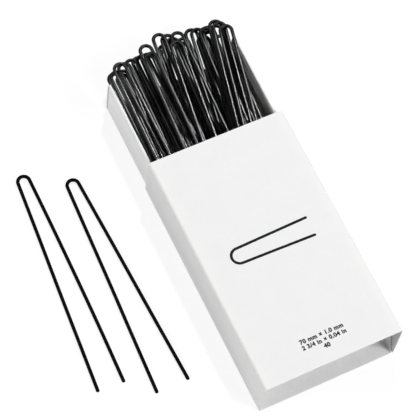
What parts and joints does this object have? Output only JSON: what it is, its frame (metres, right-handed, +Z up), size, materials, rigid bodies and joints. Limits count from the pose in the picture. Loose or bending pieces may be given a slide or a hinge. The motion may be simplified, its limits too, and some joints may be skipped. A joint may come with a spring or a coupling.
{
  "type": "boxed hairpin set",
  "caption": "White card slide box with its tray pulled partly out, full of black open U-shaped wire hairpins, and a pair of pins lying beside it.",
  "frame": {"origin": "middle of the sleeve's underside, on the table", "axes": "+Y along the sleeve, the way the tray pulls out; +Z up from the table; +X to the right, away from the loose pins"},
  "size_m": [0.0819, 0.1144, 0.0176],
  "materials": {
    "white_card": "smooth coated card, matt",
    "black_lacquer": "satin black lacquer on steel wire"
  },
  "bodies": {
    "sleeve": {"sleeve": "white_card"},
    "tray": {"tray": "white_card"},
    "loose_pin_left": {"loose_hairpin_left": "black_lacquer"},
    "loose_pin_right": {"loose_hairpin_right": "black_lacquer"},
    "pin_01": {"hairpin_01": "black_lacquer"},
    "pin_02": {"hairpin_02": "black_lacquer"},
    "pin_03": {"hairpin_03": "black_lacquer"},
    "pin_04": {"hairpin_04": "black_lacquer"},
    "pin_05": {"hairpin_05": "black_lacquer"},
    "pin_06": {"hairpin_06": "black_lacquer"},
    "pin_07": {"hairpin_07": "black_lacquer"},
    "pin_08": {"hairpin_08": "black_lacquer"},
    "pin_09": {"hairpin_09": "black_lacquer"},
    "pin_10": {"hairpin_10": "black_lacquer"},
    "pin_11": {"hairpin_11": "black_lacquer"},
    "pin_12": {"hairpin_12": "black_lacquer"},
    "pin_13": {"hairpin_13": "black_lacquer"},
    "pin_14": {"hairpin_14": "black_lacquer"},
    "pin_15": {"hairpin_15": "black_lacquer"},
    "pin_16": {"hairpin_16": "black_lacquer"},
    "pin_17": {"hairpin_17": "black_lacquer"},
    "pin_18": {"hairpin_18": "black_lacquer"},
    "pin_19": {"hairpin_19": "black_lacquer"},
    "pin_20": {"hairpin_20": "black_lacquer"},
    "pin_21": {"hairpin_21": "black_lacquer"},
    "pin_22": {"hairpin_22": "black_lacquer"},
    "pin_23": {"hairpin_23": "black_lacquer"},
    "pin_24": {"hairpin_24": "black_lacquer"},
    "pin_25": {"hairpin_25": "black_lacquer"},
    "pin_26": {"hairpin_26": "black_lacquer"},
    "pin_27": {"hairpin_27": "black_lacquer"},
    "pin_28": {"hairpin_28": "black_lacquer"},
    "pin_29": {"hairpin_29": "black_lacquer"},
    "pin_30": {"hairpin_30": "black_lacquer"},
    "pin_31": {"hairpin_31": "black_lacquer"},
    "pin_32": {"hairpin_32": "black_lacquer"},
    "pin_33": {"hairpin_33": "black_lacquer"},
    "pin_34": {"hairpin_34": "black_lacquer"},
    "pin_35": {"hairpin_35": "black_lacquer"},
    "pin_36": {"hairpin_36": "black_lacquer"},
    "pin_37": {"hairpin_37": "black_lacquer"},
    "pin_38": {"hairpin_38": "black_lacquer"}
  },
  "joints": [
    {"name": "tray_slide", "type": "slide", "parent": "sleeve", "child": "tray", "axis": [0, 1, 0], "range_m": [-0.02875, 0.048]},
    {"name": "loose_left_lift", "type": "slide", "parent": "sleeve", "child": "loose_pin_left", "axis": [0, 0, 1], "range_m": [0, 0.03]},
    {"name": "loose_right_lift", "type": "slide", "parent": "sleeve", "child": "loose_pin_right", "axis": [0, 0, 1], "range_m": [0, 0.03]},
    {"name": "pin_01_draw", "type": "slide", "parent": "tray", "child": "pin_01", "axis": [0.1402, 0.9901, 0], "range_m": [-0.00884, 0.06742]},
    {"name": "pin_02_draw", "type": "slide", "parent": "tray", "child": "pin_02", "axis": [0.225, 0.9744, 0], "range_m": [-0.00896, 0.06852]},
    {"name": "pin_03_draw", "type": "slide", "parent": "tray", "child": "pin_03", "axis": [0.0182, 0.9998, 0], "range_m": [-0.00896, 0.06655]},
    {"name": "pin_04_draw", "type": "slide", "parent": "tray", "child": "pin_04", "axis": [0.0522, 0.9986, 0], "range_m": [-0.00852, 0.06708]},
    {"name": "pin_05_draw", "type": "slide", "parent": "tray", "child": "pin_05", "axis": [0.225, 0.9744, 0], "range_m": [-0.01133, 0.06615]},
    {"name": "pin_06_draw", "type": "slide", "parent": "tray", "child": "pin_06", "axis": [0.0182, 0.9998, 0], "range_m": [-0.01204, 0.06347]},
    {"name": "pin_07_draw", "type": "slide", "parent": "tray", "child": "pin_07", "axis": [0.0567, 0.9984, 0], "range_m": [-0.01227, 0.06335]},
    {"name": "pin_08_draw", "type": "slide", "parent": "tray", "child": "pin_08", "axis": [0.0997, 0.995, 0], "range_m": [-0.01155, 0.06433]},
    {"name": "pin_09_draw", "type": "slide", "parent": "tray", "child": "pin_09", "axis": [0.0045, 1, 0], "range_m": [-0.00811, 0.06739]},
    {"name": "pin_10_draw", "type": "slide", "parent": "tray", "child": "pin_10", "axis": [0.1155, 0.9933, 0], "range_m": [-0.01474, 0.06126]},
    {"name": "pin_11_draw", "type": "slide", "parent": "tray", "child": "pin_11", "axis": [0.225, 0.9744, 0], "range_m": [-0.00817, 0.06931]},
    {"name": "pin_12_draw", "type": "slide", "parent": "tray", "child": "pin_12", "axis": [0.0431, 0.9991, 0], "range_m": [-0.01027, 0.0653]},
    {"name": "pin_13_draw", "type": "slide", "parent": "tray", "child": "pin_13", "axis": [0.1469, 0.9891, 0], "range_m": [-0.01434, 0.06198]},
    {"name": "pin_14_draw", "type": "slide", "parent": "tray", "child": "pin_14", "axis": [0.2205, 0.9754, 0], "range_m": [-0.01239, 0.06501]},
    {"name": "pin_15_draw", "type": "slide", "parent": "tray", "child": "pin_15", "axis": [0.0182, 0.9998, 0], "range_m": [-0.01116, 0.06435]},
    {"name": "pin_16_draw", "type": "slide", "parent": "tray", "child": "pin_16", "axis": [0.0522, 0.9986, 0], "range_m": [-0.01282, 0.06279]},
    {"name": "pin_17_draw", "type": "slide", "parent": "tray", "child": "pin_17", "axis": [0.0861, 0.9963, 0], "range_m": [-0.01203, 0.06375]},
    {"name": "pin_18_draw", "type": "slide", "parent": "tray", "child": "pin_18", "axis": [0.0861, 0.9963, 0], "range_m": [-0.01181, 0.06397]},
    {"name": "pin_19_draw", "type": "slide", "parent": "tray", "child": "pin_19", "axis": [0.1312, 0.9914, 0], "range_m": [-0.01265, 0.06351]},
    {"name": "pin_20_draw", "type": "slide", "parent": "tray", "child": "pin_20", "axis": [0.1738, 0.9848, 0], "range_m": [-0.01419, 0.06247]},
    {"name": "pin_21_draw", "type": "slide", "parent": "tray", "child": "pin_21", "axis": [0.0091, 1, 0], "range_m": [-0.01008, 0.06543]},
    {"name": "pin_22_draw", "type": "slide", "parent": "tray", "child": "pin_22", "axis": [0.1357, 0.9907, 0], "range_m": [-0.01435, 0.06185]},
    {"name": "pin_23_draw", "type": "slide", "parent": "tray", "child": "pin_23", "axis": [0.1402, 0.9901, 0], "range_m": [-0.01495, 0.06131]},
    {"name": "pin_24_draw", "type": "slide", "parent": "tray", "child": "pin_24", "axis": [0.034, 0.9994, 0], "range_m": [-0.0128, 0.06274]},
    {"name": "pin_25_draw", "type": "slide", "parent": "tray", "child": "pin_25", "axis": [0.0861, 0.9963, 0], "range_m": [-0.01347, 0.06231]},
    {"name": "pin_26_draw", "type": "slide", "parent": "tray", "child": "pin_26", "axis": [0.1402, 0.9901, 0], "range_m": [-0.01439, 0.06186]},
    {"name": "pin_27_draw", "type": "slide", "parent": "tray", "child": "pin_27", "axis": [0.0227, 0.9997, 0], "range_m": [-0.01116, 0.06436]},
    {"name": "pin_28_draw", "type": "slide", "parent": "tray", "child": "pin_28", "axis": [0.068, 0.9977, 0], "range_m": [-0.0134, 0.06227]},
    {"name": "pin_29_draw", "type": "slide", "parent": "tray", "child": "pin_29", "axis": [0.1983, 0.9801, 0], "range_m": [-0.01565, 0.06138]},
    {"name": "pin_30_draw", "type": "slide", "parent": "tray", "child": "pin_30", "axis": [0.0113, 0.9999, 0], "range_m": [-0.01337, 0.06213]},
    {"name": "pin_31_draw", "type": "slide", "parent": "tray", "child": "pin_31", "axis": [0.0635, 0.998, 0], "range_m": [-0.01449, 0.06116]},
    {"name": "pin_32_draw", "type": "slide", "parent": "tray", "child": "pin_32", "axis": [0.0703, 0.9975, 0], "range_m": [-0.01341, 0.06228]},
    {"name": "pin_33_draw", "type": "slide", "parent": "tray", "child": "pin_33", "axis": [0.0454, 0.999, 0], "range_m": [-0.01226, 0.06332]},
    {"name": "pin_34_draw", "type": "slide", "parent": "tray", "child": "pin_34", "axis": [0.1894, 0.9819, 0], "range_m": [-0.01496, 0.06193]},
    {"name": "pin_35_draw", "type": "slide", "parent": "tray", "child": "pin_35", "axis": [0.2139, 0.9769, 0], "range_m": [-0.01589, 0.0614]},
    {"name": "pin_36_draw", "type": "slide", "parent": "tray", "child": "pin_36", "axis": [0.0091, 1, 0], "range_m": [-0.01173, 0.06378]},
    {"name": "pin_37_draw", "type": "slide", "parent": "tray", "child": "pin_37", "axis": [0.0952, 0.9955, 0], "range_m": [-0.01462, 0.06123]},
    {"name": "pin_38_draw", "type": "slide", "parent": "tray", "child": "pin_38", "axis": [0.1492, 0.9888, 0], "range_m": [-0.01448, 0.06188]}
  ]
}
